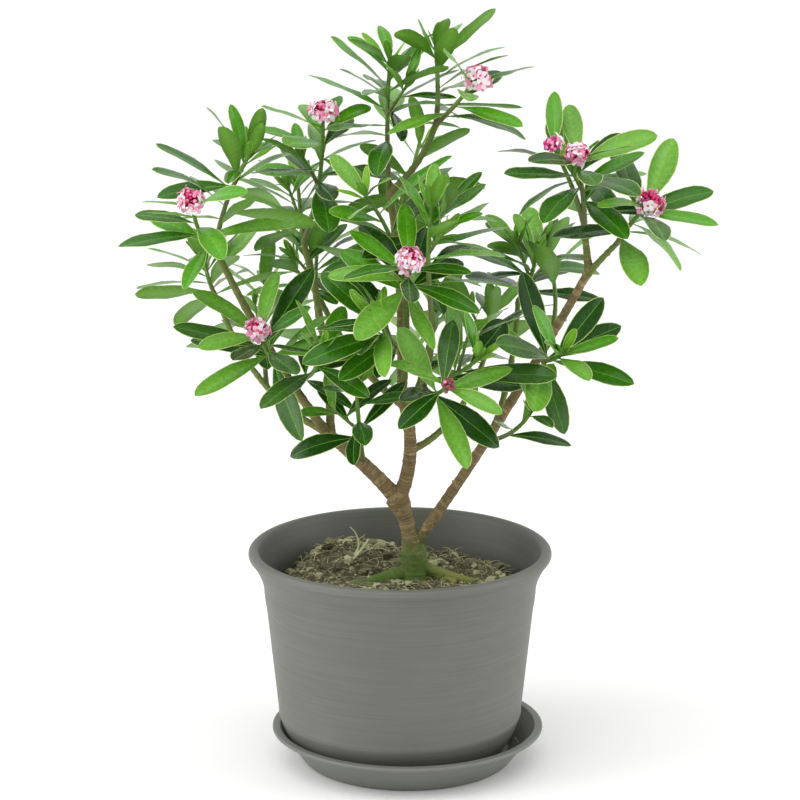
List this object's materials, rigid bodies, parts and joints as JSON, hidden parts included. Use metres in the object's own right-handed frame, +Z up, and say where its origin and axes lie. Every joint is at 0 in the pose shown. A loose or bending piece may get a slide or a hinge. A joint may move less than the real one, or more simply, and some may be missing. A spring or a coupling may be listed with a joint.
{
  "type": "potted winter daphne",
  "caption": "Evergreen shrub with a knotty trunk, spreading boughs, whorls of narrow leaves and round heads of pink blossom, growing in a round tapered pot on a saucer.",
  "frame": {"origin": "on the flat underside of the saucer, straight below the middle of the pot", "axes": "+Z up along the pot's axis, +X to the right and +Y away as the picture sees the plant"},
  "size_m": [0.5283, 0.3865, 0.6957],
  "materials": {
    "pot": "satin",
    "saucer": "satin",
    "soil": "matte",
    "bark": "matte",
    "young_bark": "matte",
    "foliage": "satin",
    "blossom": "matte"
  },
  "bodies": {
    "root": {"saucer": "saucer", "pot": "pot", "soil": "soil", "trunk": "bark", "bough_right": "bark", "bough_left": "bark", "bough_middle": "bark", "limb_left_low": "young_bark", "limb_left_long": "young_bark", "limb_left_high": "young_bark", "limb_leader": "young_bark", "limb_front": "young_bark", "limb_inner_left": "young_bark", "limb_inner_right": "young_bark", "limb_centre": "young_bark", "limb_right_high": "young_bark", "limb_right_out": "young_bark", "limb_right_inner": "young_bark", "limb_top_right": "young_bark", "foliage_top": "foliage", "foliage_top_inner": "foliage", "foliage_top_bloom": "foliage", "foliage_high_left_bloom": "foliage", "foliage_high_left": "foliage", "foliage_left_upper": "foliage", "foliage_left_bloom": "foliage", "foliage_left_back": "foliage", "foliage_left_low_bloom": "foliage", "foliage_low_left": "foliage", "foliage_front_bloom": "foliage", "foliage_front_face": "foliage", "foliage_front_buds": "foliage", "foliage_front_left": "foliage", "foliage_right_inner": "foliage", "foliage_right_high_bloom": "foliage", "foliage_right_bloom": "foliage", "foliage_right_node": "foliage", "foliage_right_low": "foliage", "foliage_back_right_inner": "foliage", "foliage_back_left_inner": "foliage", "foliage_centre_left": "foliage", "foliage_centre_right": "foliage", "foliage_centre_back": "foliage", "foliage_back_low": "foliage", "foliage_back_left": "foliage", "foliage_back_far_left": "foliage", "foliage_back_right": "foliage", "foliage_back_high": "foliage", "foliage_centre_low_right": "foliage", "foliage_left_inner": "foliage", "foliage_right_high_buds": "foliage"}
  },
  "joints": []
}
